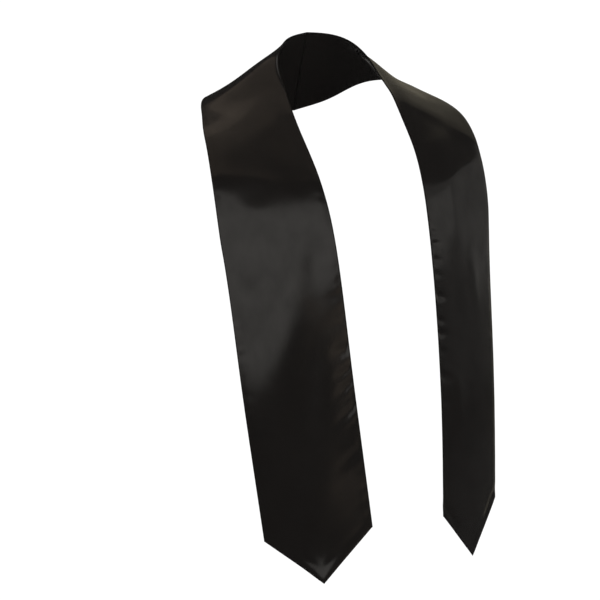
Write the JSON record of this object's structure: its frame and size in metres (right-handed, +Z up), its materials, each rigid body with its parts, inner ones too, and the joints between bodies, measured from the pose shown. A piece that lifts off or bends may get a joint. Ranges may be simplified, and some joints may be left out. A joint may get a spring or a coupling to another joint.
{
  "type": "graduation stole",
  "caption": "Plain black satin stole in its worn form, a flat collar round the back of the neck with two long panels down the front that end in points.",
  "frame": {"origin": "middle of the neck opening, level with the sides of the neck", "axes": "+Z up, the wearer faces -Y, the wearer's left is +X"},
  "size_m": [0.4075, 0.3237, 0.6939],
  "materials": {
    "black_satin": "soft satin"
  },
  "bodies": {
    "root": {"left_panel": "black_satin", "right_panel": "black_satin"}
  },
  "joints": []
}
